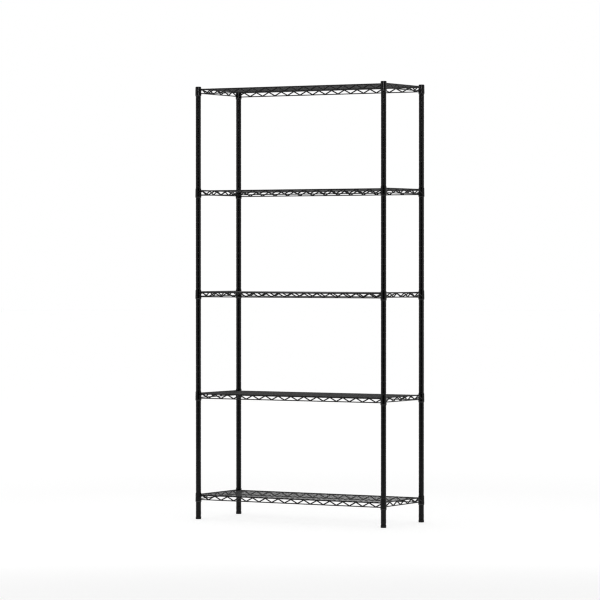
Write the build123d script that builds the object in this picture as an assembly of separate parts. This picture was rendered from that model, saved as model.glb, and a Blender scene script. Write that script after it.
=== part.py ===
from build123d import *
import math
import os

# Wire shelving rack: four grooved steel posts, five welded wire shelves that drop over
# tapered split sleeves, end caps on top and screw-in levelling feet below.
# Millimetres. Origin on the floor at the centre of the footprint, +Z up,
# +X along the long side, -Y is the front.

# ---- driving dimensions -------------------------------------------------------------
overall_height = 1841.0
post_spacing_x = 900.8          # post centre to post centre along the shelf
post_spacing_y = 328.5          # post centre to post centre front to back
groove_pitch = 25.4             # one inch between the rolled rings of a post
shelf_count = 5
grooves_per_bay = 17            # shelf spacing in grooves
bottom_shelf_z = 94.6           # middle of the bottom shelf's collars, at the first groove

# ---- posts --------------------------------------------------------------------------
post_radius = 10.9
post_wall = 1.2
groove_depth = 0.5
groove_mouth = 2.4              # groove width at the post's surface
groove_floor = 1.2              # groove width at its bottom
crimp_low, crimp_high = 21.0, 33.0   # raised band where the tube grips the foot insert
crimp_rise = 0.25

# ---- caps and feet ------------------------------------------------------------------
cap_head = 1.5
cap_plug_depth = 14.0
cap_edge = 0.5
plug_clearance = 0.05           # caps and inserts inside the tube
plug_chamfer = 1.0
pad_radius = 11.7
pad_height = 13.2
pad_edge = 0.8                  # chamfer round the sole
pad_neck_height = 1.2           # narrower neck that meets the tube
pad_neck_inset = 0.6            # neck inside the post's surface
pad_shoulder = 1.0              # sloping shoulder below the neck
pad_gap = 0.3                   # clearance between pad and tube end
stem_radius = 3.95              # M8 stem
stem_clearance = 0.05
stem_root = 4.0                 # how far above the floor the stem starts inside the pad
stem_top = 50.0
stem_chamfer = 0.8
insert_length = 22.0

# ---- collars and sleeves ------------------------------------------------------------
collar_height = 34.5
collar_bottom_radius = 12.95
collar_top_radius = 12.3
collar_wall = 0.75
collar_edge = 0.3
sleeve_clearance = 0.2          # between sleeve and collar, which come apart
sleeve_bore_gap = 0.03          # between sleeve and post
sleeve_top_margin = 2.0         # sleeve stops this far below the collar's top
sleeve_lip_height = 3.4         # lip that shows under the collar
sleeve_lip_radius = 12.5
sleeve_lip_edge = 0.4
sleeve_rib_height = 1.2
sleeve_rib_depth = 0.4
sleeve_rib_slope = 0.1
sleeve_split = 0.6              # gap between the two halves

# ---- wires --------------------------------------------------------------------------
truss_offset = 6.9              # zigzags run this far outside the post centres
top_rim_radius = 2.5
bottom_rim_radius = 2.0
truss_radius = 2.5
deck_radius = 1.45
top_rim_rise = 7.4              # long top rims above the collar's middle
bottom_rim_drop = 10.9          # long bottom rims below the collar's middle
side_lift = 2.5                 # the short rims and their zigzags sit this much higher
bend_inset = 1.5                # zigzag bends stop this far inside the rims' centre lines
deck_pitch = 25.4
deck_side_wires = 17            # deck wires each side of the middle one
truss_pitch = 62.55             # one full zigzag
truss_bend_radius = 3.0
long_truss_vertex = 11.1        # an upper bend of the long zigzags lies here along X
side_truss_pitch = 61.6
weld_gap = 0.02                 # welded wires are drawn just touching
collar_gap = 0.08               # and this far from the collars they are welded to
wire_reach = 7.0                # wires run this close to the post centre before coping

# ---- worked out ---------------------------------------------------------------------
half_x = post_spacing_x / 2
half_y = post_spacing_y / 2
foot_height = pad_height + pad_gap
tube_top = overall_height - cap_head
bore_radius = post_radius - post_wall
plug_radius = bore_radius - plug_clearance
shelf_spacing = groove_pitch * grooves_per_bay
groove_count = grooves_per_bay * (shelf_count - 1) + 1
upper_bend = top_rim_rise - bend_inset
lower_bend = -bottom_rim_drop + bend_inset
deck_rise = top_rim_rise + top_rim_radius - deck_radius   # deck flush with the long rims' top


def rim_offset(radius):
    """Where a rim of this radius lies beside the zigzag, measured from the post centres."""
    touching = radius + truss_radius + weld_gap
    return truss_offset - math.sqrt(touching**2 - bend_inset**2)


corners = {
    "front_left": (-half_x, -half_y),
    "front_right": (half_x, -half_y),
    "back_left": (-half_x, half_y),
    "back_right": (half_x, half_y),
}


def turned(outline):
    """Solid of revolution about Z from an (r, z) outline."""
    profile = make_face(Polyline(*[(r, 0, z) for r, z in outline], close=True))
    return revolve(profile, Axis.Z)


def wire_between(start, end, radius):
    """Straight round wire."""
    path = Line(start, end)
    return sweep(Plane(origin=start, z_dir=Vector(*end) - Vector(*start)) * Circle(radius), path)


def bent_wire(points, radius):
    """Round wire along a polyline whose corners are bent to the truss radius."""
    path = FilletPolyline(*points, radius=truss_bend_radius)
    return sweep(Plane(origin=path @ 0, z_dir=path % 0) * Circle(radius), path)


# ---- posts, caps, feet --------------------------------------------------------------
def post_tube():
    outline = [(bore_radius, foot_height), (post_radius, foot_height)]
    outline += [(post_radius, crimp_low), (post_radius + crimp_rise, crimp_low + 1)]
    outline += [(post_radius + crimp_rise, crimp_high - 1), (post_radius, crimp_high)]
    for n in range(groove_count):
        z = bottom_shelf_z + n * groove_pitch
        outline += [(post_radius, z - groove_mouth / 2), (post_radius - groove_depth, z - groove_floor / 2)]
        outline += [(post_radius - groove_depth, z + groove_floor / 2), (post_radius, z + groove_mouth / 2)]
    outline += [(post_radius, tube_top), (bore_radius, tube_top)]
    return turned(outline)


def post_cap():
    low = tube_top - cap_plug_depth
    return turned([
        (0, low), (plug_radius - plug_chamfer, low), (plug_radius, low + plug_chamfer),
        (plug_radius, tube_top), (post_radius, tube_top), (post_radius, overall_height - cap_edge),
        (post_radius - cap_edge, overall_height), (0, overall_height),
    ])


def foot_insert():
    """Threaded plug pressed into the tube's lower end, drawn with a plain bore."""
    bore = stem_radius + stem_clearance
    top = foot_height + insert_length
    return turned([
        (bore, foot_height), (plug_radius, foot_height),
        (plug_radius, top - plug_chamfer), (plug_radius - plug_chamfer, top), (bore, top),
    ])


def foot_pad():
    neck = post_radius - pad_neck_inset
    shoulder = pad_height - pad_neck_height
    return turned([
        (0, 0), (pad_radius - pad_edge, 0), (pad_radius, pad_edge), (pad_radius, shoulder - pad_shoulder),
        (neck, shoulder), (neck, pad_height),
        (stem_radius, pad_height), (stem_radius, stem_root), (0, stem_root),
    ])


def foot_stem():
    return turned([
        (0, stem_root), (stem_radius, stem_root), (stem_radius, stem_top - stem_chamfer),
        (stem_radius - stem_chamfer, stem_top), (0, stem_top),
    ])


# ---- sleeves ------------------------------------------------------------------------
def collar_inner_radius(z):
    """Inside of the tapered collar at height z from its middle."""
    share = z / collar_height + 0.5
    return collar_bottom_radius - collar_wall + share * (collar_top_radius - collar_bottom_radius)


def sleeve_halves():
    """Two half shells round a post, with a rib that sits in its groove."""
    inner = post_radius + sleeve_bore_gap
    top = collar_height / 2 - sleeve_top_margin
    seat = -collar_height / 2 - sleeve_clearance
    bottom = seat - sleeve_lip_height
    lip, rib = sleeve_lip_radius, post_radius - sleeve_rib_depth
    rib_half = sleeve_rib_height / 2
    shell = turned([
        (inner, bottom), (lip - sleeve_lip_edge, bottom), (lip, bottom + sleeve_lip_edge),
        (lip, seat), (collar_inner_radius(seat) - sleeve_clearance, seat),
        (collar_inner_radius(top) - sleeve_clearance, top), (inner, top),
        (inner, rib_half), (rib, rib_half - sleeve_rib_slope),
        (rib, sleeve_rib_slope - rib_half), (inner, -rib_half),
    ])
    saw = Box(4 * post_radius, sleeve_split, 3 * collar_height)
    return (shell - saw).solids()


# ---- shelf --------------------------------------------------------------------------
def collar():
    half = collar_height / 2
    low, high = collar_bottom_radius, collar_top_radius
    return turned([
        (low - collar_wall, -half), (low - collar_edge, -half), (low, -half + collar_edge),
        (high, half - collar_edge), (high - collar_edge, half), (high - collar_wall, half),
    ])


def collar_cutters():
    """Full cones that cope the wires to the outside of the four collars."""
    half = collar_height / 2
    low, high = collar_bottom_radius + collar_gap, collar_top_radius + collar_gap
    cone = turned([(0, -half), (low, -half), (high, half), (0, half)])
    return [Pos(x, y, 0) * cone for x, y in corners.values()]


def coped(wire, cutters):
    for cutter in cutters:
        wire = wire - cutter
    return max(wire.solids(), key=lambda piece: piece.volume)


def all_sides(front, left):
    """A front and a left wire with their mirror images at the back and on the right."""
    return [front, mirror(front, about=Plane.XZ), left, mirror(left, about=Plane.YZ)]


def rim_wires(z, radius, cutters):
    """Two long and two short straight rims, welded end-on to the collars."""
    reach_x, reach_y = half_x - wire_reach, half_y - wire_reach
    x, y, side_z = half_x + rim_offset(radius), half_y + rim_offset(radius), z + side_lift
    long_rim = coped(wire_between((-reach_x, -y, z), (reach_x, -y, z), radius), cutters)
    short_rim = coped(wire_between((-x, -reach_y, side_z), (-x, reach_y, side_z), radius), cutters)
    return all_sides(long_rim, short_rim)


def zigzag_stations(limit, pitch, upper_at):
    """Corners of a zigzag between -limit and limit as (along, height); its ends are cut on the slope."""
    half_pitch = pitch / 2
    slope = math.atan2(upper_bend - lower_bend, half_pitch)
    sharp = truss_bend_radius * (1 / math.cos(slope) - 1)   # corner stands proud of its bend
    high, low = upper_bend + sharp, lower_bend - sharp

    def height(along):
        turn = ((along - upper_at) / half_pitch) % 2
        share = turn if turn <= 1 else 2 - turn
        return high + share * (low - high)

    first = math.ceil((-limit + truss_bend_radius - upper_at) / half_pitch)
    last = math.floor((limit - truss_bend_radius - upper_at) / half_pitch)
    bends = [upper_at + n * half_pitch for n in range(first, last + 1)]
    return [(s, height(s)) for s in [-limit, *bends, limit]]


def zigzag_wires(cutters):
    """Zigzags on the outer faces of the rims, bent from one wire each."""
    x, y = half_x + truss_offset, half_y + truss_offset
    long_stations = zigzag_stations(half_x - wire_reach, truss_pitch, long_truss_vertex)
    side_stations = zigzag_stations(half_y - wire_reach, side_truss_pitch, 0)
    long_wire = coped(bent_wire([(s, -y, z) for s, z in long_stations], truss_radius), cutters)
    side_wire = coped(bent_wire([(-x, s, z + side_lift) for s, z in side_stations], truss_radius), cutters)
    return all_sides(long_wire, side_wire)


def deck_wires():
    """Front-to-back wires, coped to the inner sides of the long top rims."""
    rim_y = half_y + rim_offset(top_rim_radius)
    wire = wire_between((0, -rim_y, deck_rise), (0, rim_y, deck_rise), deck_radius)
    cope = Rot(0, 90, 0) * Cylinder(top_rim_radius + weld_gap, 4 * deck_radius)
    for y in (-rim_y, rim_y):
        wire = wire - Pos(0, y, top_rim_rise) * cope
    wire = max(wire.solids(), key=lambda piece: piece.volume)
    return [Pos(n * deck_pitch, 0, 0) * wire for n in range(-deck_side_wires, deck_side_wires + 1)]


def group(pieces, z=0):
    return Compound(children=[Pos(0, 0, z) * piece for piece in pieces])


# ---- write one file per node --------------------------------------------------------
os.makedirs("parts", exist_ok=True)


def save(node, shape):
    export_step(shape, f"parts/{node}.step")


tube, cap, insert, pad, stem = post_tube(), post_cap(), foot_insert(), foot_pad(), foot_stem()
for corner, (x, y) in corners.items():
    place = Pos(x, y, 0)
    save(f"post_{corner}", place * tube)
    save(f"post_cap_{corner}", place * cap)
    save(f"foot_insert_{corner}", place * insert)
    save(f"foot_pad_{corner}", place * pad)
    save(f"foot_stem_{corner}", place * stem)

cutters = collar_cutters()
shelf_pieces = {
    "collars": [Pos(x, y, 0) * collar() for x, y in corners.values()],
    "top_rims": rim_wires(top_rim_rise, top_rim_radius, cutters),
    "bottom_rims": rim_wires(-bottom_rim_drop, bottom_rim_radius, cutters),
    "zigzags": zigzag_wires(cutters),
    "deck_wires": deck_wires(),
}
for side in ("left", "right"):
    ends = [corners[f"front_{side}"], corners[f"back_{side}"]]
    shelf_pieces[f"sleeves_{side}"] = [Pos(x, y, 0) * half for x, y in ends for half in sleeve_halves()]
for n in range(shelf_count):
    for piece, solids in shelf_pieces.items():
        save(f"shelf_{n + 1}_{piece}", group(solids, bottom_shelf_z + n * shelf_spacing))
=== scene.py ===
import math
import random
import bmesh
import bpy
from mathutils import Matrix, Vector


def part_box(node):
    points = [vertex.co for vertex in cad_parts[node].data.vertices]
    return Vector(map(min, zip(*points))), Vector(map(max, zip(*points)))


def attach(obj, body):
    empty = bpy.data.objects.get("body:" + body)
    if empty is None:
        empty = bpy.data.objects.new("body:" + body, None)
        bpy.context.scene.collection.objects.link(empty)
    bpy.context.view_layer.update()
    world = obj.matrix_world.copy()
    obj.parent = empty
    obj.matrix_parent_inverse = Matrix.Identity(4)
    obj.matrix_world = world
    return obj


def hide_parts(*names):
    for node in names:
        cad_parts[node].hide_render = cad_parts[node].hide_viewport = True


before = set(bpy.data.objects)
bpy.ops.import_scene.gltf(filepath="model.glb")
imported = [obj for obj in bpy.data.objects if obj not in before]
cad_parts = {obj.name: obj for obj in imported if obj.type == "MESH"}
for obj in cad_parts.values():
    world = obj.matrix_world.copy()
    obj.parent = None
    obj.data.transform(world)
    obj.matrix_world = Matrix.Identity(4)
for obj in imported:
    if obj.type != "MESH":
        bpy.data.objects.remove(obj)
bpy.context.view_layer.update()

mm = 0.001
cornerNames = ("front_left", "front_right", "back_left", "back_right")
shelfNumbers = (1, 2, 3, 4, 5)

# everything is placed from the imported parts: post centres, and the middle height of each shelf's collars
postCentre = {corner: sum(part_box(f"post_{corner}"), Vector()) / 2 for corner in cornerNames}
shelfLevel = {n: (sum(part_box(f"shelf_{n}_collars"), Vector()) / 2).z for n in shelfNumbers}
halfX = postCentre["front_right"].x
halfY = postCentre["back_right"].y


# colour and nodes
def hexColour(code):
    channels = [int(code[i:i + 2], 16) / 255 for i in (1, 3, 5)]
    return [c / 12.92 if c <= 0.04045 else ((c + 0.055) / 1.055) ** 2.4 for c in channels] + [1.0]


def addNode(tree, kind, values=None, links=None, **settings):
    node = tree.nodes.new(kind)
    for key, value in settings.items():
        setattr(node, key, value)
    for key, value in (values or {}).items():
        node.inputs[key].default_value = value
    for key, source in (links or {}).items():
        tree.links.new(source, node.inputs[key])
    return node


def startMaterial(name, sockets):
    material = bpy.data.materials.new(name)
    material.use_nodes = True
    tree = material.node_tree
    shader = tree.nodes["Principled BSDF"]
    for key, value in sockets.items():
        shader.inputs[key].default_value = value
    place = addNode(tree, "ShaderNodeTexCoord").outputs["Object"]
    return material, tree, shader, place


def perMetre(millimetres):
    return 1 / (millimetres * mm)


# how finely each noise pattern is broken up within its own scale
octaves = {"clouds": 3.0, "peel": 2.0, "grain": 4.0, "flow": 2.0, "patches": 3.0, "streaks": 2.0}


# Black polyester powder coat, sprayed dry and baked on steel: it flows into a faint orange peel,
# so its gloss is slightly broken up, and it pools a little darker where it is thick.
powderCoat = {"thick": "#040405", "thin": "#09090a", "ior": 1.5, "specular": 0.4,
              "glossy": 0.17, "dull": 0.23, "peelSize": 2.2, "peelDepth": 0.006, "peelStrength": 0.35,
              "cloudSize": 70}


def powderCoatedSteel(name, coat):
    material, tree, shader, place = startMaterial(name, {
        "IOR": coat["ior"], "Specular IOR Level": coat["specular"], "Metallic": 0.0})
    clouds = addNode(tree, "ShaderNodeTexNoise", {
        "Scale": perMetre(coat["cloudSize"]), "Detail": octaves["clouds"]}, {"Vector": place})
    tint = addNode(tree, "ShaderNodeMix", data_type="RGBA", links={"Factor": clouds.outputs["Fac"]})
    tint.inputs["A"].default_value = hexColour(coat["thick"])
    tint.inputs["B"].default_value = hexColour(coat["thin"])
    peel = addNode(tree, "ShaderNodeTexNoise", {
        "Scale": perMetre(coat["peelSize"]), "Detail": octaves["peel"]}, {"Vector": place})
    gloss = addNode(tree, "ShaderNodeMapRange", {"To Min": coat["glossy"], "To Max": coat["dull"]},
                    {"Value": peel.outputs["Fac"]})
    bump = addNode(tree, "ShaderNodeBump", {
        "Strength": coat["peelStrength"], "Distance": coat["peelDepth"] * mm},
        {"Height": peel.outputs["Fac"]})
    tree.links.new(tint.outputs["Result"], shader.inputs["Base Color"])
    tree.links.new(gloss.outputs["Result"], shader.inputs["Roughness"])
    tree.links.new(bump.outputs["Normal"], shader.inputs["Normal"])
    return material


postCoat = powderCoatedSteel("powderCoatedTube", powderCoat)
collarCoat = powderCoatedSteel("powderCoatedCollar", {
    **powderCoat, "glossy": 0.1, "dull": 0.17, "peelSize": 1.6, "peelDepth": 0.008})
wireCoat = powderCoatedSteel("powderCoatedWire", {
    **powderCoat, "glossy": 0.26, "dull": 0.4, "peelSize": 1.2})
# the coat beads and roughens over the weld spatter
weldCoat = powderCoatedSteel("powderCoatedWeld", {
    **powderCoat, "glossy": 0.34, "dull": 0.55, "peelSize": 0.7, "peelDepth": 0.08})


# Moulded thermoplastic: spark-eroded mould faces leave an even fine grain that scatters the light,
# and slight flow marks run with the melt.
moulding = {"ior": 1.49, "flowStretch": 0.25, "grainDepth": 0.03, "grainStrength": 0.4}


def mouldedPlastic(name, look):
    material, tree, shader, place = startMaterial(name, {
        "IOR": moulding["ior"], "Specular IOR Level": look["specular"]})
    grain = addNode(tree, "ShaderNodeTexNoise", {
        "Scale": perMetre(look["grain"]), "Detail": octaves["grain"]}, {"Vector": place})
    stretched = addNode(tree, "ShaderNodeMapping", {"Scale": (1.0, 1.0, moulding["flowStretch"])},
                        {"Vector": place})
    flow = addNode(tree, "ShaderNodeTexNoise", {
        "Scale": perMetre(look["flow"]), "Detail": octaves["flow"]},
        {"Vector": stretched.outputs["Vector"]})
    tint = addNode(tree, "ShaderNodeMix", data_type="RGBA", links={"Factor": flow.outputs["Fac"]})
    tint.inputs["A"].default_value = hexColour(look["dark"])
    tint.inputs["B"].default_value = hexColour(look["light"])
    gloss = addNode(tree, "ShaderNodeMapRange", {"To Min": look["glossy"], "To Max": look["dull"]},
                    {"Value": grain.outputs["Fac"]})
    bump = addNode(tree, "ShaderNodeBump", {
        "Strength": moulding["grainStrength"], "Distance": moulding["grainDepth"] * mm},
        {"Height": grain.outputs["Fac"]})
    tree.links.new(tint.outputs["Result"], shader.inputs["Base Color"])
    tree.links.new(gloss.outputs["Result"], shader.inputs["Roughness"])
    tree.links.new(bump.outputs["Normal"], shader.inputs["Normal"])
    return material


sleevePlastic = mouldedPlastic("mouldedPolypropylene", {
    "dark": "#3c3c3d", "light": "#4a4a4b", "specular": 0.45, "glossy": 0.3, "dull": 0.42,
    "grain": 0.8, "flow": 9})
capPlastic = mouldedPlastic("mouldedPolyethylene", {
    "dark": "#0c0c0d", "light": "#131314", "specular": 0.4, "glossy": 0.32, "dull": 0.46,
    "grain": 0.7, "flow": 7})
padPlastic = mouldedPlastic("mouldedNylon", {
    "dark": "#1d1d1e", "light": "#29292a", "specular": 0.4, "glossy": 0.48, "dull": 0.62,
    "grain": 0.6, "flow": 6})


# Bright zinc plating on turned steel: silver with a slight blue-yellow cast in patches, faintly
# brushed round.
zinc = {"cool": "#aeb4ba", "warm": "#bdb8a8", "patch": 6.0, "glossy": 0.26, "dull": 0.42, "streak": 0.4,
        "streakStretch": 0.1}


def zincPlatedSteel(name, look):
    material, tree, shader, place = startMaterial(name, {"Metallic": 1.0})
    patches = addNode(tree, "ShaderNodeTexNoise", {
        "Scale": perMetre(look["patch"]), "Detail": octaves["patches"]}, {"Vector": place})
    tint = addNode(tree, "ShaderNodeMix", data_type="RGBA", links={"Factor": patches.outputs["Fac"]})
    tint.inputs["A"].default_value = hexColour(look["cool"])
    tint.inputs["B"].default_value = hexColour(look["warm"])
    squeezed = addNode(tree, "ShaderNodeMapping", {
        "Scale": (look["streakStretch"], look["streakStretch"], 1.0)}, {"Vector": place})
    streaks = addNode(tree, "ShaderNodeTexNoise", {
        "Scale": perMetre(look["streak"]), "Detail": octaves["streaks"]},
        {"Vector": squeezed.outputs["Vector"]})
    gloss = addNode(tree, "ShaderNodeMapRange", {"To Min": look["glossy"], "To Max": look["dull"]},
                    {"Value": streaks.outputs["Fac"]})
    tree.links.new(tint.outputs["Result"], shader.inputs["Base Color"])
    tree.links.new(gloss.outputs["Result"], shader.inputs["Roughness"])
    return material


zincSteel = zincPlatedSteel("zincPlatedSteel", zinc)
print("materials made:", len(bpy.data.materials))


# shared by every piece: how near points merge, which edges stay crisp, and how near a cut takes a point
meshing = {"mergeWithin": 0.002, "sharpAngle": 38, "cutWithin": 0.01}


def settle(bm):
    # doubles merged, faces turned outwards, and edges sharper than sharpAngle kept crisp
    bmesh.ops.remove_doubles(bm, verts=bm.verts, dist=meshing["mergeWithin"] * mm)
    bmesh.ops.recalc_face_normals(bm, faces=bm.faces)
    for face in bm.faces:
        face.smooth = True
    for edge in bm.edges:
        edge.smooth = edge.calc_face_angle(0) < math.radians(meshing["sharpAngle"])


def makePiece(name, bm, material, body, nodes=(), shift=(0, 0, 0)):
    mesh = bpy.data.meshes.new(name)
    bm.to_mesh(mesh)
    mesh.transform(Matrix.Translation(shift))
    mesh.materials.append(material)
    piece = bpy.data.objects.new(name, mesh)
    bpy.context.scene.collection.objects.link(piece)
    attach(piece, body)
    if nodes:
        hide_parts(*nodes)
    return piece


def newVerts(result, key="geom"):
    return [item for item in result[key] if isinstance(item, bmesh.types.BMVert)]


def ringEdges(result, key="geom"):
    own = set(newVerts(result, key))
    edges = [item for item in result[key] if isinstance(item, bmesh.types.BMEdge)]
    return [edge for edge in edges if set(edge.verts) <= own]


def addCopy(bm, source, matrix):
    # one more copy of a finished shape inside the same mesh
    mesh = bpy.data.meshes.new("copy")
    source.to_mesh(mesh)
    before = set(bm.verts)
    bm.from_mesh(mesh)
    bpy.data.meshes.remove(mesh)
    added = [vert for vert in bm.verts if vert not in before]
    bmesh.ops.transform(bm, matrix=matrix, verts=added)


def turned(outline, closed, steps, angle=2 * math.pi, startAngle=0.0, soften=0.0):
    # a lathe: the outline is (radius, height) in mm, spun about Z
    bm = bmesh.new()
    corners = [bm.verts.new((r * mm, 0, z * mm)) for r, z in outline]
    if closed:
        bm.faces.new(corners)
    else:
        for first, second in zip(corners, corners[1:]):
            bm.edges.new((first, second))
    if soften:
        bmesh.ops.bevel(bm, geom=corners, offset=soften * mm, offset_type="OFFSET", segments=2, profile=0.5,
                        affect="VERTICES", material=-1)
    full = math.isclose(angle, 2 * math.pi)
    if full and closed:
        bmesh.ops.delete(bm, geom=list(bm.faces), context="FACES_ONLY")
    bmesh.ops.rotate(bm, verts=bm.verts, cent=(0, 0, 0), matrix=Matrix.Rotation(startAngle, 3, "Z"))
    bmesh.ops.spin(bm, geom=list(bm.verts) + list(bm.edges) + list(bm.faces), cent=(0, 0, 0),
                   axis=(0, 0, 1), angle=angle, steps=steps, use_merge=full)
    settle(bm)
    return bm


# posts: rolled rings every inch, and a raised band where the tube grips the foot insert
post = {"radius": 10.9, "wall": 1.2, "steps": 40, "firstRing": 94.6, "ringPitch": 25.4, "rings": 69,
        "ringDepth": 0.5, "bandLow": 21.0, "bandHigh": 33.0, "bandRise": 0.24, "bandSlope": 1.3,
        "bandKnee": 0.5, "kneeDrop": 0.06, "holdBack": 0.6, "endRound": 0.3}
# one ring as (height from its middle, share of its depth); its outermost points hold the wall's shading flat
ringShape = ((-1.9, 0.0), (-1.3, 0.0), (-1.02, 0.12), (-0.72, 0.72), (-0.4, 1.0),
             (0.4, 1.0), (0.72, 0.72), (1.02, 0.12), (1.3, 0.0), (1.9, 0.0))


def postOutline(low, high):
    r, band, knee = post["radius"], post["radius"] + post["bandRise"], post["bandKnee"]
    bandLow, bandHigh, slope, hold = post["bandLow"], post["bandHigh"], post["bandSlope"], post["holdBack"]
    kneeRadius = band - post["kneeDrop"]
    outline = [(r - post["wall"], low), (r - post["endRound"], low), (r, low + post["endRound"])]
    outline += [(r, bandLow - hold), (r, bandLow), (kneeRadius, bandLow + knee), (band, bandLow + slope),
                (band, bandLow + slope + hold), (band, bandHigh - slope - hold), (band, bandHigh - slope),
                (kneeRadius, bandHigh - knee), (r, bandHigh), (r, bandHigh + hold)]
    for n in range(post["rings"]):
        middle = post["firstRing"] + n * post["ringPitch"]
        outline += [(r - share * post["ringDepth"], middle + along) for along, share in ringShape]
    return outline + [(r, high), (r - post["wall"], high)]


tubeLow, tubeHigh = (corner.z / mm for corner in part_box("post_front_left"))
postShape = turned(postOutline(tubeLow, tubeHigh), True, post["steps"])
for corner in cornerNames:
    centre = postCentre[corner]
    makePiece(f"postTube_{corner}", postShape, postCoat, "frame",
              [f"post_{corner}"], (centre.x, centre.y, 0))
print("posts made")

# end caps: a shallow dome over the tube's rim, on a finned plug
cap = {"radius": 10.9, "plug": 9.65, "plugDepth": 14.0, "plugTaper": 1.4, "head": 1.5, "fins": 3,
       "finDepth": 0.5, "steps": 40}
# a fin as (depth as a share of finDepth, height from its middle), and the dome as (inset from the rim, rise)
finShape = ((1.0, -0.9), (0.0, -0.3), (0.0, 0.1), (1.0, 0.3))
domeShape = ((0.15, 0.0), (0.0, 0.15), (0.0, 0.55), (0.12, 0.85), (0.45, 1.1), (1.4, 1.28), (4.0, 1.42))


def capOutline(top):
    seat, plug = top - cap["head"], cap["plug"]
    outline = [(0, seat - cap["plugDepth"]), (plug - cap["plugTaper"], seat - cap["plugDepth"])]
    finPitch = cap["plugDepth"] / (cap["fins"] + 1)
    for n in range(cap["fins"], 0, -1):
        middle = seat - n * finPitch
        outline += [(plug - share * cap["finDepth"], middle + along) for share, along in finShape]
    outline += [(plug - cap["finDepth"], seat)]
    outline += [(cap["radius"] - inset, seat + rise) for inset, rise in domeShape]
    return outline + [(0, top)]


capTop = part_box("post_cap_front_left")[1].z / mm
capShape = turned(capOutline(capTop), False, cap["steps"])
for corner in cornerNames:
    centre = postCentre[corner]
    makePiece(f"endCap_{corner}", capShape, capPlastic, "frame",
              [f"post_cap_{corner}"], (centre.x, centre.y, 0))
print("end caps made")

# levelling feet: a moulded pad on a threaded stem, in an insert held by the tube
pad = {"radius": 11.7, "height": 13.2, "neck": 10.3, "neckEdge": 0.25, "sole": 10.2, "soleRecess": 0.35,
       "soleRim": 1.2, "recessSlope": 0.4, "stemHole": 3.9, "steps": 40}
# the side as (inset from the pad's radius, height), from the sole's edge up to the neck
padSide = ((0.7, 0.25), (0.15, 0.8), (0.0, 1.5), (0.1, 9.6), (0.25, 10.6), (0.75, 11.4), (1.25, 12.0),
           (1.4, 12.3))


def padOutline():
    rimInside = pad["sole"] - pad["soleRim"]
    outline = [(0, pad["soleRecess"]), (rimInside - pad["recessSlope"], pad["soleRecess"])]
    outline += [(rimInside, 0.0), (pad["sole"], 0.0)]
    outline += [(pad["radius"] - inset, height) for inset, height in padSide]
    neck, top, edge = pad["neck"], pad["height"], pad["neckEdge"]
    return outline + [(neck, top - edge), (neck - edge, top), (pad["stemHole"], top)]


stem = {"crest": 3.95, "root": 3.35, "pitch": 1.25, "low": 12.6, "top": 50.0, "point": 1.2, "tip": 2.35,
        "steps": 24}


def stemOutline():
    root, crest, top = stem["root"], stem["crest"], stem["top"]
    toothShape = ((root, 0.15), (crest, 0.55), (crest, 0.7), (root, 1.1))
    outline = [(0, stem["low"]), (root, stem["low"])]
    for n in range(int((top - stem["low"] - stem["point"]) / stem["pitch"])):
        foot = stem["low"] + n * stem["pitch"]
        outline += [(radius, foot + along) for radius, along in toothShape]
    return outline + [(root, top - stem["point"]), (stem["tip"], top), (0, top)]


padShape = turned(padOutline(), False, pad["steps"])
stemShape = turned(stemOutline(), False, stem["steps"])
for corner in cornerNames:
    centre = postCentre[corner]
    makePiece(f"footPad_{corner}", padShape, padPlastic, f"foot_{corner}",
              [f"foot_pad_{corner}"], (centre.x, centre.y, 0))
    makePiece(f"footStem_{corner}", stemShape, zincSteel, f"foot_{corner}",
              [f"foot_stem_{corner}"], (centre.x, centre.y, 0))
    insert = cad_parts[f"foot_insert_{corner}"].data
    insert.materials.clear()
    insert.materials.append(zincSteel)
print("feet made")

# collars: tapered rings with softened rims that drop over the sleeves
collar = {"height": 34.5, "bottomRadius": 12.95, "topRadius": 12.3, "wall": 0.75, "soften": 0.3,
          "holdBack": 0.9, "steps": 48}


def collarRadius(z):
    share = z / collar["height"] + 0.5
    return collar["bottomRadius"] + share * (collar["topRadius"] - collar["bottomRadius"])


half, holdBack = collar["height"] / 2, collar["holdBack"]  # a ring near each rim holds the shading flat
collarShape = turned([
    (collar["bottomRadius"] - collar["wall"], -half), (collar["bottomRadius"], -half),
    (collarRadius(holdBack - half), holdBack - half), (collarRadius(half - holdBack), half - holdBack),
    (collar["topRadius"], half), (collar["topRadius"] - collar["wall"], half),
], True, collar["steps"], soften=collar["soften"])

# sleeves: two half shells, with a bead that sits in a ring of the post and a lip under the collar
sleeve = {"bore": 10.93, "lipRadius": 12.5, "lipHeight": 3.4, "lipEdge": 0.45, "lipRound": 0.12,
          "lipTop": 0.1, "clearance": 0.2, "topMargin": 2.0, "topEdge": 0.2, "topRound": 0.1, "split": 0.6,
          "beadDepth": 0.4, "beadHalf": 0.6, "beadSlope": 0.1, "guides": 3, "guideDepth": 0.1,
          "guideHalf": 0.5, "guideFloorHalf": 0.2, "steps": 22}


def insideCollar(z):
    return collarRadius(z) - collar["wall"] - sleeve["clearance"]


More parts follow.
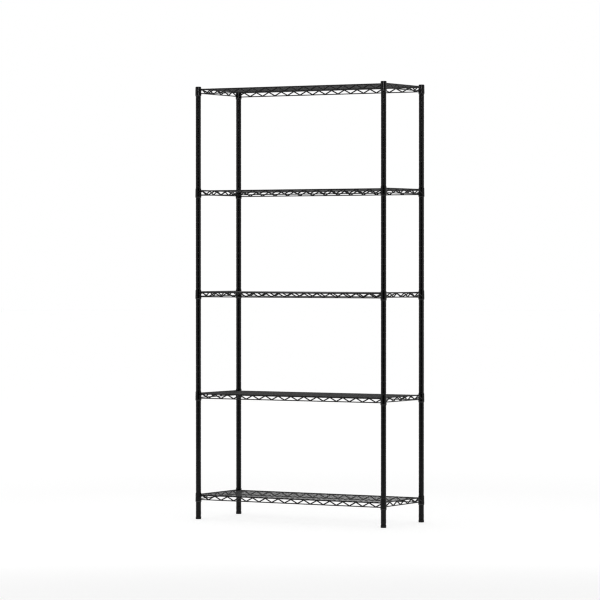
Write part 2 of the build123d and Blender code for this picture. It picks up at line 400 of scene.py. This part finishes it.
def sleeveOutline():
    seat, top = -half - sleeve["clearance"], half - sleeve["topMargin"]
    bottom, lip, bore = seat - sleeve["lipHeight"], sleeve["lipRadius"], sleeve["bore"]
    edge, softened, lipTop = sleeve["lipEdge"], sleeve["lipRound"], sleeve["lipTop"]
    outline = [(bore, bottom), (lip - edge, bottom), (lip - softened, bottom + softened)]
    outline += [(lip, bottom + edge), (lip, seat - lipTop), (lip - lipTop, seat), (insideCollar(seat), seat)]
    for n in range(1, sleeve["guides"] + 1):  # shallow moulding lines round the taper
        middle = seat + n * (top - seat) / (sleeve["guides"] + 1)
        low, high = middle - sleeve["guideHalf"], middle + sleeve["guideHalf"]
        floorRadius = insideCollar(middle) - sleeve["guideDepth"]
        outline += [(insideCollar(low), low), (floorRadius, middle - sleeve["guideFloorHalf"]),
                    (floorRadius, middle + sleeve["guideFloorHalf"]), (insideCollar(high), high)]
    outline += [(insideCollar(top), top - sleeve["topEdge"]), (insideCollar(top) - sleeve["topRound"], top)]
    beadRadius, beadHalf = bore - sleeve["beadDepth"], sleeve["beadHalf"]
    beadFlat = beadHalf - sleeve["beadSlope"]
    return outline + [(bore, top), (bore, beadHalf), (beadRadius, beadFlat), (beadRadius, -beadFlat),
                      (bore, -beadHalf)]


splitAngle = math.asin(sleeve["split"] / 2 / sleeve["bore"])
halfSleeve = turned(sleeveOutline(), True, sleeve["steps"], math.pi - 2 * splitAngle, splitAngle)
sleevePair = bmesh.new()
for angle in (0, math.pi):
    addCopy(sleevePair, halfSleeve, Matrix.Rotation(angle, 4, "Z"))

collarSet = bmesh.new()
sleeveSets = {"left": bmesh.new(), "right": bmesh.new()}
for corner in cornerNames:
    spot = Matrix.Translation((postCentre[corner].x, postCentre[corner].y, 0))
    addCopy(collarSet, collarShape, spot)
    addCopy(sleeveSets[corner.split("_")[1]], sleevePair, spot)
print("collars and sleeves shaped")

# wires: straight rims and bent zigzags run from collar to collar; a pitch is from one upper bend to the
# next, and upperAt is where one of them stands from the middle of its side
rims = {"topRadius": 2.5, "topRise": 7.4, "bottomRadius": 2.0, "bottomDrop": 10.9, "sides": 16}
zigzag = {"radius": 2.5, "out": 6.9, "bendRadius": 3.0, "bendInset": 1.5, "sides": 14, "bendSteps": 6,
          "longPitch": 62.55, "longUpperAt": 11.1, "sidePitch": 61.6, "sideUpperAt": 0.0}
# the left and right sides sit sideLift higher; raw wires end at reach from a post's centre line, and are
# then trimmed to bite into the collar's skin
wires = {"sideLift": 2.5, "weldGap": 0.02, "reach": 8.2, "bite": 0.45}
deck = {"radius": 1.45, "pitch": 25.4, "each": 17, "sides": 12, "bite": 1.7}
upperBend = rims["topRise"] - zigzag["bendInset"]
lowerBend = -rims["bottomDrop"] + zigzag["bendInset"]


def rimOffset(radius):
    # how far outside the posts' centre line a rim lies when it touches the bends of the zigzag
    touching = radius + zigzag["radius"] + wires["weldGap"]
    return zigzag["out"] - math.sqrt(touching ** 2 - zigzag["bendInset"] ** 2)


def trimAtCollars(bm, halfSpan, out, z):
    # both ends are cut square to the collar's skin, a little inside it, and closed
    skin = collarRadius(z)
    tilt = math.asin(out / skin)
    for side in (-1, 1):
        away = Vector((-side * math.cos(tilt), -math.sin(tilt), 0))
        cutAt = Vector((side * halfSpan, 0, z)) + away * (skin - wires["bite"])
        cut = bmesh.ops.bisect_plane(bm, geom=list(bm.verts) + list(bm.edges) + list(bm.faces),
                                     dist=meshing["cutWithin"] * mm, plane_co=cutAt * mm, plane_no=away,
                                     clear_inner=True)
        rim = [item for item in cut["geom_cut"] if isinstance(item, bmesh.types.BMEdge)]
        bmesh.ops.holes_fill(bm, edges=rim, sides=0)


def straightWire(halfSpan, radius, out, z):
    bm = bmesh.new()
    length = 2 * (halfSpan - wires["reach"])
    lie = Matrix.Translation(Vector((0, -out, z)) * mm) @ Matrix.Rotation(math.radians(90), 4, "Y")
    bmesh.ops.create_cone(bm, cap_ends=False, segments=rims["sides"], radius1=radius * mm,
                          radius2=radius * mm, depth=length * mm, matrix=lie)
    trimAtCollars(bm, halfSpan, out, z)
    return bm


def zigzagStations(limit, pitch, upperAt):
    # the corners of the bent wire's centre line, with both ends; a round bend passes inside its corner
    halfPitch = pitch / 2
    slope = math.atan2(upperBend - lowerBend, halfPitch)
    proud = zigzag["bendRadius"] * (1 / math.cos(slope) - 1)
    high, low = upperBend + proud, lowerBend - proud

    def height(along):
        turn = ((along - upperAt) / halfPitch) % 2
        return high + (turn if turn <= 1 else 2 - turn) * (low - high)

    first = math.ceil((-limit + zigzag["bendRadius"] - upperAt) / halfPitch)
    last = math.floor((limit - zigzag["bendRadius"] - upperAt) / halfPitch)
    bends = [upperAt + n * halfPitch for n in range(first, last + 1)]
    return [Vector((s, 0, height(s))) for s in [-limit, *bends, limit]]


def zigzagWire(halfSpan, pitch, upperAt):
    # a ring is pushed along each run and spun round each bend
    stations = zigzagStations(halfSpan - wires["reach"], pitch, upperAt)
    bm = bmesh.new()
    run = (stations[1] - stations[0]).normalized()
    turnTo = Vector((0, 0, 1)).rotation_difference(run).to_matrix().to_4x4()
    made = bmesh.ops.create_circle(bm, cap_ends=False, segments=zigzag["sides"], radius=zigzag["radius"] * mm,
                                   matrix=Matrix.Translation(stations[0] * mm) @ turnTo)
    ring = list({edge for vert in made["verts"] for edge in vert.link_edges})
    at = stations[0]
    for corner, after in zip(stations[1:-1], stations[2:]):
        nextRun = (after - corner).normalized()
        slope = abs(math.atan2(run.z, run.x))
        bendStart = corner - run * zigzag["bendRadius"] * math.tan(slope)
        pushed = bmesh.ops.extrude_edge_only(bm, edges=ring)
        bmesh.ops.translate(bm, verts=newVerts(pushed), vec=(bendStart - at) * mm)
        towards = -1 if run.z > 0 else 1
        pivot = corner + Vector((0, 0, towards * zigzag["bendRadius"] / math.cos(slope)))
        spun = bmesh.ops.spin(bm, geom=newVerts(pushed) + ringEdges(pushed), cent=pivot * mm, axis=(0, 1, 0),
                              angle=-towards * 2 * slope, steps=zigzag["bendSteps"])
        ring = ringEdges(spun, "geom_last")
        at = corner + nextRun * zigzag["bendRadius"] * math.tan(slope)
        run = nextRun
    pushed = bmesh.ops.extrude_edge_only(bm, edges=ring)
    bmesh.ops.translate(bm, verts=newVerts(pushed), vec=(stations[-1] - at) * mm)
    bmesh.ops.translate(bm, verts=bm.verts, vec=(0, -zigzag["out"] * mm, 0))
    trimAtCollars(bm, halfSpan, zigzag["out"], 0)
    return bm, stations[1:-1]


spanX, spanY = halfX / mm, halfY / mm
mirrorY = Matrix.Scale(-1, 4, (0, 1, 0))
frontPlace = Matrix.Translation((0, -halfY, 0))
backPlace = mirrorY @ frontPlace
sideLift = Matrix.Translation((0, 0, wires["sideLift"] * mm))
leftPlace = sideLift @ Matrix.Translation((-halfX, 0, 0)) @ Matrix.Rotation(math.radians(-90), 4, "Z")
rightPlace = sideLift @ Matrix.Translation((halfX, 0, 0)) @ Matrix.Rotation(math.radians(90), 4, "Z")


def fourSides(longShape, sideShape):
    bm = bmesh.new()
    for place in (frontPlace, backPlace):
        addCopy(bm, longShape, place)
    for place in (leftPlace, rightPlace):
        addCopy(bm, sideShape, place)
    settle(bm)
    return bm


def rimSet(radius, z):
    out = rimOffset(radius)
    return fourSides(straightWire(spanX, radius, out, z), straightWire(spanY, radius, out, z))


topRimSet = rimSet(rims["topRadius"], rims["topRise"])
bottomRimSet = rimSet(rims["bottomRadius"], -rims["bottomDrop"])
longZigzag, longBends = zigzagWire(spanX, zigzag["longPitch"], zigzag["longUpperAt"])
sideZigzag, sideBends = zigzagWire(spanY, zigzag["sidePitch"], zigzag["sideUpperAt"])
zigzagSet = fourSides(longZigzag, sideZigzag)
print("rims and zigzags bent")

# deck wires run front to back, flush with the tops of the long rims
deckPlaces = [n * deck["pitch"] for n in range(-deck["each"], deck["each"] + 1)]
deckRise = rims["topRise"] + rims["topRadius"] - deck["radius"]
deckEnd = spanY + rimOffset(rims["topRadius"]) - deck["bite"]
deckSet = bmesh.new()
frontToBack = Matrix.Rotation(math.radians(90), 4, "X")
for along in deckPlaces:
    lie = Matrix.Translation(Vector((along, 0, deckRise)) * mm) @ frontToBack
    bmesh.ops.create_cone(deckSet, cap_ends=True, segments=deck["sides"], radius1=deck["radius"] * mm,
                          radius2=deck["radius"] * mm, depth=2 * deckEnd * mm, matrix=lie)
settle(deckSet)

# welds: flattened beads wherever two wires or a wire and a collar meet
weld = {"seed": 11, "vary": 0.14, "bendBead": (2.1, 1.0, 1.0), "deckBead": (2.0, 0.9, 1.1), "deckInset": 0.6,
        "deckDrop": 0.5, "collarLap": 0.75, "collarThick": 0.75, "collarProud": 0.1}
shake = random.Random(weld["seed"])


def addBead(bm, at, size, turn=Matrix.Identity(4), fine=2):
    wobble = [1 + shake.uniform(-weld["vary"], weld["vary"]) for axis in range(3)]
    shape = Matrix.Diagonal([s * w * mm for s, w in zip(size, wobble)] + [1])
    bmesh.ops.create_icosphere(bm, subdivisions=fine, radius=1,
                               matrix=Matrix.Translation(at * mm) @ turn @ shape)


def sideWelds(halfSpan, bends):
    # beads of one side of a shelf, in the frame its wires are made in
    bm = bmesh.new()
    zigs = Vector((0, -zigzag["out"], 0))
    for bend in bends:
        isUpper = bend.z > 0
        radius = rims["topRadius"] if isUpper else rims["bottomRadius"]
        rim = Vector((0, -rimOffset(radius), rims["topRise"] if isUpper else -rims["bottomDrop"]))
        crest = zigs + Vector((0, 0, upperBend if isUpper else lowerBend))
        meet = crest + (rim - crest) * zigzag["radius"] / (radius + zigzag["radius"])
        addBead(bm, Vector((bend.x, meet.y, meet.z)), weld["bendBead"])
    wireEnds = [(rims["topRadius"], rimOffset(rims["topRadius"]), rims["topRise"]),
                (rims["bottomRadius"], rimOffset(rims["bottomRadius"]), -rims["bottomDrop"])]
    for side in (-1, 1):
        for radius, out, z in wireEnds:
            tilt = math.asin(out / collarRadius(z))
            away = Vector((-side * math.cos(tilt), -math.sin(tilt), 0))
            spot = Vector((side * halfSpan, 0, z)) + away * (collarRadius(z) + weld["collarProud"])
            facing = Vector((0, 0, 1)).rotation_difference(away).to_matrix().to_4x4()
            lap = radius + weld["collarLap"]
            addBead(bm, spot, (lap, lap, weld["collarThick"]), facing)
    return bm


longWelds, sideWeldSet = sideWelds(spanX, longBends), sideWelds(spanY, sideBends)
weldSet = fourSides(longWelds, sideWeldSet)
for along in deckPlaces:
    for side in (-1, 1):
        meet = Vector((along, side * (deckEnd - weld["deckInset"]), deckRise - weld["deckDrop"]))
        addBead(weldSet, meet, weld["deckBead"], fine=1)
for face in weldSet.faces:
    face.smooth = True
print("welds laid:", len(weldSet.faces), "faces a shelf")

# one set of wires, collars and welds for each shelf; the sleeves stay on the posts
shelfParts = (("collars", collarSet, collarCoat, ["collars"]),
              ("topRims", topRimSet, wireCoat, ["top_rims"]),
              ("bottomRims", bottomRimSet, wireCoat, ["bottom_rims"]),
              ("zigzags", zigzagSet, wireCoat, ["zigzags"]),
              ("deckWires", deckSet, wireCoat, ["deck_wires"]),
              ("welds", weldSet, weldCoat, []))
for n in shelfNumbers:
    lift = (0, 0, shelfLevel[n])
    for part, shape, material, nodes in shelfParts:
        makePiece(f"shelf{n}_{part}", shape, material, f"shelf_{n}",
                  [f"shelf_{n}_{node}" for node in nodes], lift)
    for side, shape in sleeveSets.items():
        makePiece(f"shelf{n}_sleeves_{side}", shape, sleevePlastic, "frame",
                  [f"shelf_{n}_sleeves_{side}"], lift)
print("shelves made:", len(shelfNumbers))

# studio: a pale sweep under a large overhead light, with two wide soft boxes, a small high light in front,
# and surroundings that reflect white from behind the rack and nearly black from in front of it
studio = {"floorSize": 60.0, "floorFront": 4.6, "floorCells": 8, "floor": "#969696", "floorRoughness": 0.9,
          "floorSpecular": 0.05, "glowFar": 0.875, "glowNear": 0.765, "nearReach": 2.0, "farReach": 5.0,
          "shadeFrom": 1.8, "shadeBy": 0.11, "turn": 30.0, "surround": 0.02, "backdrop": 1.0,
          "backdropFrom": 0.0, "backdropTo": 0.6, "contrast": 0.8, "sharpness": 1.3}


def paleFloor():
    # matte paper sweep lit through from below, so that it stays evenly white and takes hardly any shadow;
    # a faint shade runs across it in front of the rack and is gone again at its front edge
    material, tree, shader, place = startMaterial("palePaperSweep", {
        "Roughness": studio["floorRoughness"], "Specular IOR Level": studio["floorSpecular"],
        "Base Color": hexColour(studio["floor"]), "Emission Color": hexColour("#ffffff")})
    reach = addNode(tree, "ShaderNodeVectorMath", links={0: place}, operation="LENGTH")
    glow = addNode(tree, "ShaderNodeMapRange", {
        "From Min": studio["nearReach"], "From Max": studio["farReach"],
        "To Min": studio["glowNear"], "To Max": studio["glowFar"]}, {"Value": reach.outputs["Value"]})
    apart = addNode(tree, "ShaderNodeSeparateXYZ", links={"Vector": place})
    across = addNode(tree, "ShaderNodeMapRange", {
        "From Min": -studio["shadeFrom"], "From Max": -studio["floorFront"],
        "To Min": 0.0, "To Max": math.pi}, {"Value": apart.outputs["Y"]})
    swell = addNode(tree, "ShaderNodeMath", links={0: across.outputs["Result"]}, operation="SINE")
    shade = addNode(tree, "ShaderNodeMath", {1: -studio["shadeBy"]},
                    {0: swell.outputs["Value"], 2: glow.outputs["Result"]}, operation="MULTIPLY_ADD")
    tree.links.new(shade.outputs["Value"], shader.inputs["Emission Strength"])
    return material


floorMesh = bmesh.new()
bmesh.ops.create_grid(floorMesh, x_segments=studio["floorCells"], y_segments=studio["floorCells"],
                      size=studio["floorSize"] / 2)
bmesh.ops.translate(floorMesh, verts=floorMesh.verts,
                    vec=(0, studio["floorSize"] / 2 - studio["floorFront"], 0))
floorData = bpy.data.meshes.new("floor")
floorMesh.to_mesh(floorData)
floorData.materials.append(paleFloor())
floor = bpy.data.objects.new("floor", floorData)
floor.rotation_euler = (0, 0, math.radians(studio["turn"]))
bpy.context.scene.collection.objects.link(floor)

world = bpy.data.worlds.new("studioSurround")
bpy.context.scene.world = world
world.use_nodes = True
skyTree = world.node_tree
skyTree.nodes["Background"].inputs["Color"].default_value = hexColour("#ffffff")
seen = addNode(skyTree, "ShaderNodeLightPath")
outward = addNode(skyTree, "ShaderNodeTexCoord")
studioTurn = math.radians(studio["turn"])
behindRack = (-math.sin(studioTurn), math.cos(studioTurn), 0)
backwards = addNode(skyTree, "ShaderNodeVectorMath", {1: behindRack},
                    {0: outward.outputs["Generated"]}, operation="DOT_PRODUCT")
backdrop = addNode(skyTree, "ShaderNodeMapRange", {
    "From Min": studio["backdropFrom"], "From Max": studio["backdropTo"],
    "To Min": studio["surround"], "To Max": studio["backdrop"]}, {"Value": backwards.outputs["Value"]})
level = addNode(skyTree, "ShaderNodeMapRange", {"To Max": 1.0},
                {"Value": seen.outputs["Is Camera Ray"], "To Min": backdrop.outputs["Result"]})
skyTree.links.new(level.outputs["Result"], skyTree.nodes["Background"].inputs["Strength"])

# each light's place and aim in metres, its width and height, and its power in watts
softBoxes = {
    "overheadLight": {"at": (0, -0.6, 5.2), "aim": (0, 0, 0), "size": (5.0, 4.0), "power": 120},
    "rightSoftBox": {"at": (5.0, 0.3, 1.5), "aim": (0, 0, 0.9), "size": (4.2, 2.4), "power": 42},
    "leftSoftBox": {"at": (-2.7, -4.2, 1.5), "aim": (0, 0, 0.9), "size": (4.2, 2.4), "power": 42},
    "highFrontLight": {"at": (3.9, -7.0, 2.75), "aim": (0, 0, 1.6), "size": (0.9, 0.7), "power": 52},
}
for name, box in softBoxes.items():
    light = bpy.data.lights.new(name, "AREA")
    light.shape = "RECTANGLE"
    light.size, light.size_y = box["size"]
    light.energy = box["power"]
    lamp = bpy.data.objects.new(name, light)
    lamp.location = box["at"]
    lamp.rotation_euler = (Vector(box["aim"]) - Vector(box["at"])).to_track_quat("-Z", "Y").to_euler()
    lamp.visible_camera = False
    bpy.context.scene.collection.objects.link(lamp)

# the camera stands 14 m away at mid height, 30 degrees round from the front, with a long lens
view = {"at": (6.9993, -12.0026, 1.1108), "tilt": 89.2733, "turn": 30.409, "lens": 197.0, "sensor": 36,
        "clipEnd": 100}
cameraData = bpy.data.cameras.new("camera")
cameraData.sensor_width = view["sensor"]
cameraData.lens = view["lens"]
cameraData.clip_end = view["clipEnd"]
camera = bpy.data.objects.new("camera", cameraData)
camera.location = view["at"]
camera.rotation_euler = (math.radians(view["tilt"]), 0, math.radians(view["turn"]))
bpy.context.scene.collection.objects.link(camera)
bpy.context.scene.camera = camera
bpy.context.scene.view_settings.view_transform = "Standard"
bpy.context.scene.view_settings.gamma = studio["contrast"]  # the firmer tone curve of a product shot
bpy.context.scene.cycles.filter_width = studio["sharpness"]
print("studio set")
